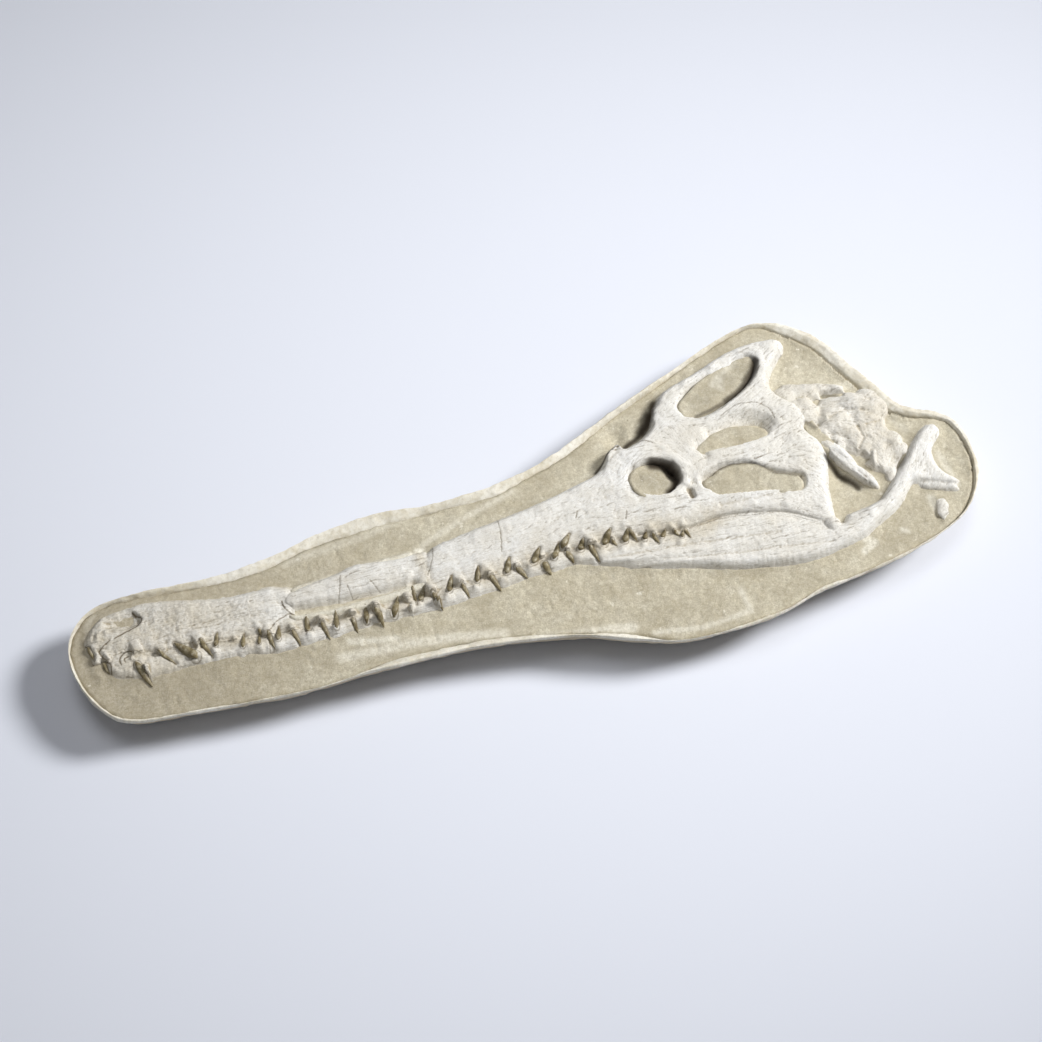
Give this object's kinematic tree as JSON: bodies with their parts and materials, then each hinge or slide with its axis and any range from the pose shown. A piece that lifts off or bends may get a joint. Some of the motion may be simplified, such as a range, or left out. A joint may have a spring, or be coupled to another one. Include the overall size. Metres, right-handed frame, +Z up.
{
  "type": "fossil crocodilian skull",
  "caption": "Long-snouted fossil crocodilian skull and lower jaw in relief on a rock slab held by a plaster field jacket, as a still display model.",
  "frame": {"origin": "centre of the jacket's flat underside", "axes": "+X along the slab from the snout to the back of the skull, +Y from the lower jaw's side to the skull roof's side, +Z up from the underside"},
  "size_m": [1.1766, 0.4248, 0.084],
  "materials": {
    "plaster": "chalky cream plaster, matt",
    "rock": "fine sandy phosphate limestone, matt",
    "fossil_bone": "off-white fossil bone with fine grain and cracks, matt"
  },
  "bodies": {
    "root": {"plaster_jacket": "plaster", "rock_slab": "rock", "premaxilla": "fossil_bone", "maxilla_front": "fossil_bone", "nasal_bone": "fossil_bone", "maxilla_rear": "fossil_bone", "frontal_bone": "fossil_bone", "jugal_front": "fossil_bone", "jugal_rear": "fossil_bone", "postorbital_bone": "fossil_bone", "parietal_bone": "fossil_bone", "squamosal_bone": "fossil_bone", "right_temporal_arch": "fossil_bone", "left_temporal_arch": "fossil_bone", "quadrate_bone": "fossil_bone", "roof_plate": "fossil_bone", "dentary_front": "fossil_bone", "dentary_middle": "fossil_bone", "dentary_rear": "fossil_bone", "surangular_bone": "fossil_bone", "angular_bone": "fossil_bone", "articular_bone": "fossil_bone", "retroarticular_spur": "fossil_bone", "pterygoid_blade": "fossil_bone", "occipital_ridge": "fossil_bone", "braincase_rear": "fossil_bone", "neck_bone_front": "fossil_bone", "neck_bone_rear": "fossil_bone", "bone_scrap": "fossil_bone"}
  },
  "joints": []
}
